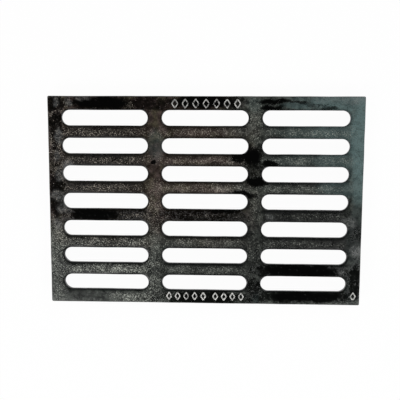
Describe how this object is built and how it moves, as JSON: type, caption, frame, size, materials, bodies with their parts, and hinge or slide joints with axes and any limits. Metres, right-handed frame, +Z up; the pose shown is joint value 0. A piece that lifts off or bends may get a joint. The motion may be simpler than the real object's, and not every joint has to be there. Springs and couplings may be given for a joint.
{
  "type": "channel drain grate",
  "caption": "Flat rectangular cast iron drain grate with rows of long rounded slots between tapered bars, and a plain bearing rim round the underside.",
  "frame": {"origin": "centre of the grate's underside, on the plane of the seat that rests in the channel's frame", "axes": "+X along the grate's length and along its slots, +Y across it, +Z up through the walking face"},
  "size_m": [0.6, 0.4, 0.03],
  "materials": {
    "iron": "sand cast surface with a worn black coating"
  },
  "bodies": {
    "root": {"grate": "iron"}
  },
  "joints": []
}
